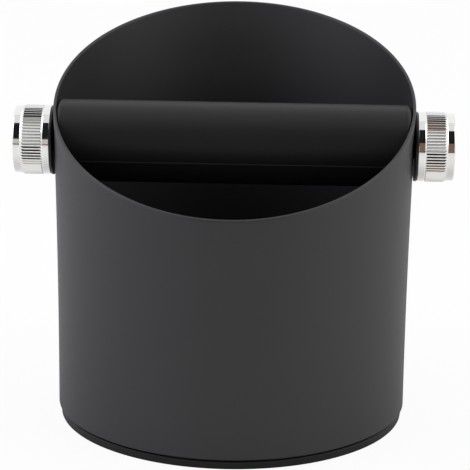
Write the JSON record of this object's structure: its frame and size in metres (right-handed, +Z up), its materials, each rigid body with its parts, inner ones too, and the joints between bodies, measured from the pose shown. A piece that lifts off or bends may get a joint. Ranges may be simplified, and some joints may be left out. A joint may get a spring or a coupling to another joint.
{
  "type": "coffee grounds bin",
  "caption": "Round knock box for spent coffee grounds: slant-mouthed black metal bin on a rubber base, with a soft-sleeved knock bar held across it by knurled chrome thumb knobs.",
  "frame": {"origin": "middle of the base pad's underside, on the shell's own axis and on the surface that the bin stands on", "axes": "+X along the knock bar to the right knob, +Z up, and the low side of the slanted mouth faces -Y"},
  "size_m": [0.1454, 0.1202, 0.1306],
  "materials": {
    "shell_coat": "fine-textured matte black powder coat",
    "steel": "plain",
    "sleeve_rubber": "matte black",
    "base_rubber": "matte black",
    "washer_rubber": "smooth black",
    "chrome": "polished, with straight knurling"
  },
  "bodies": {
    "bin": {"body_shell": "shell_coat", "floor_pan": "shell_coat", "base_pad": "base_rubber", "inner_seal_left": "sleeve_rubber", "inner_seal_right": "sleeve_rubber"},
    "knock_bar": {"bar_core_tube": "steel", "bar_sleeve": "sleeve_rubber", "bar_plug_left": "steel", "bar_plug_right": "steel"},
    "left_washer": {"knob_washer_left": "washer_rubber"},
    "left_knob": {"thumb_knob_left": "chrome", "knob_stud_left": "steel"},
    "right_washer": {"knob_washer_right": "washer_rubber"},
    "right_knob": {"thumb_knob_right": "chrome", "knob_stud_right": "steel"}
  },
  "joints": [
    {"name": "bar_turn", "type": "hinge", "parent": "bin", "child": "knock_bar", "pos_m": [0, 0, 0.09303], "axis": [1, 0, 0], "continuous": true},
    {"name": "left_washer_out", "type": "slide", "parent": "bin", "child": "left_washer", "axis": [-1, 0, 0], "range_m": [0, 0.01]},
    {"name": "left_knob_unscrew", "type": "hinge", "parent": "left_washer", "child": "left_knob", "pos_m": [-0.06066, 0, 0.09303], "axis": [-1, 0, 0], "range_deg": [0, 2880]},
    {"name": "right_washer_out", "type": "slide", "parent": "bin", "child": "right_washer", "axis": [1, 0, 0], "range_m": [0, 0.01]},
    {"name": "right_knob_unscrew", "type": "hinge", "parent": "right_washer", "child": "right_knob", "pos_m": [0.06066, 0, 0.09303], "axis": [1, 0, 0], "range_deg": [0, 2880]}
  ],
  "couplings": [
    {"joint": "left_washer_out", "follows": "left_knob_unscrew", "m_per_rad": 0.00019894},
    {"joint": "right_washer_out", "follows": "right_knob_unscrew", "m_per_rad": 0.00019894}
  ]
}
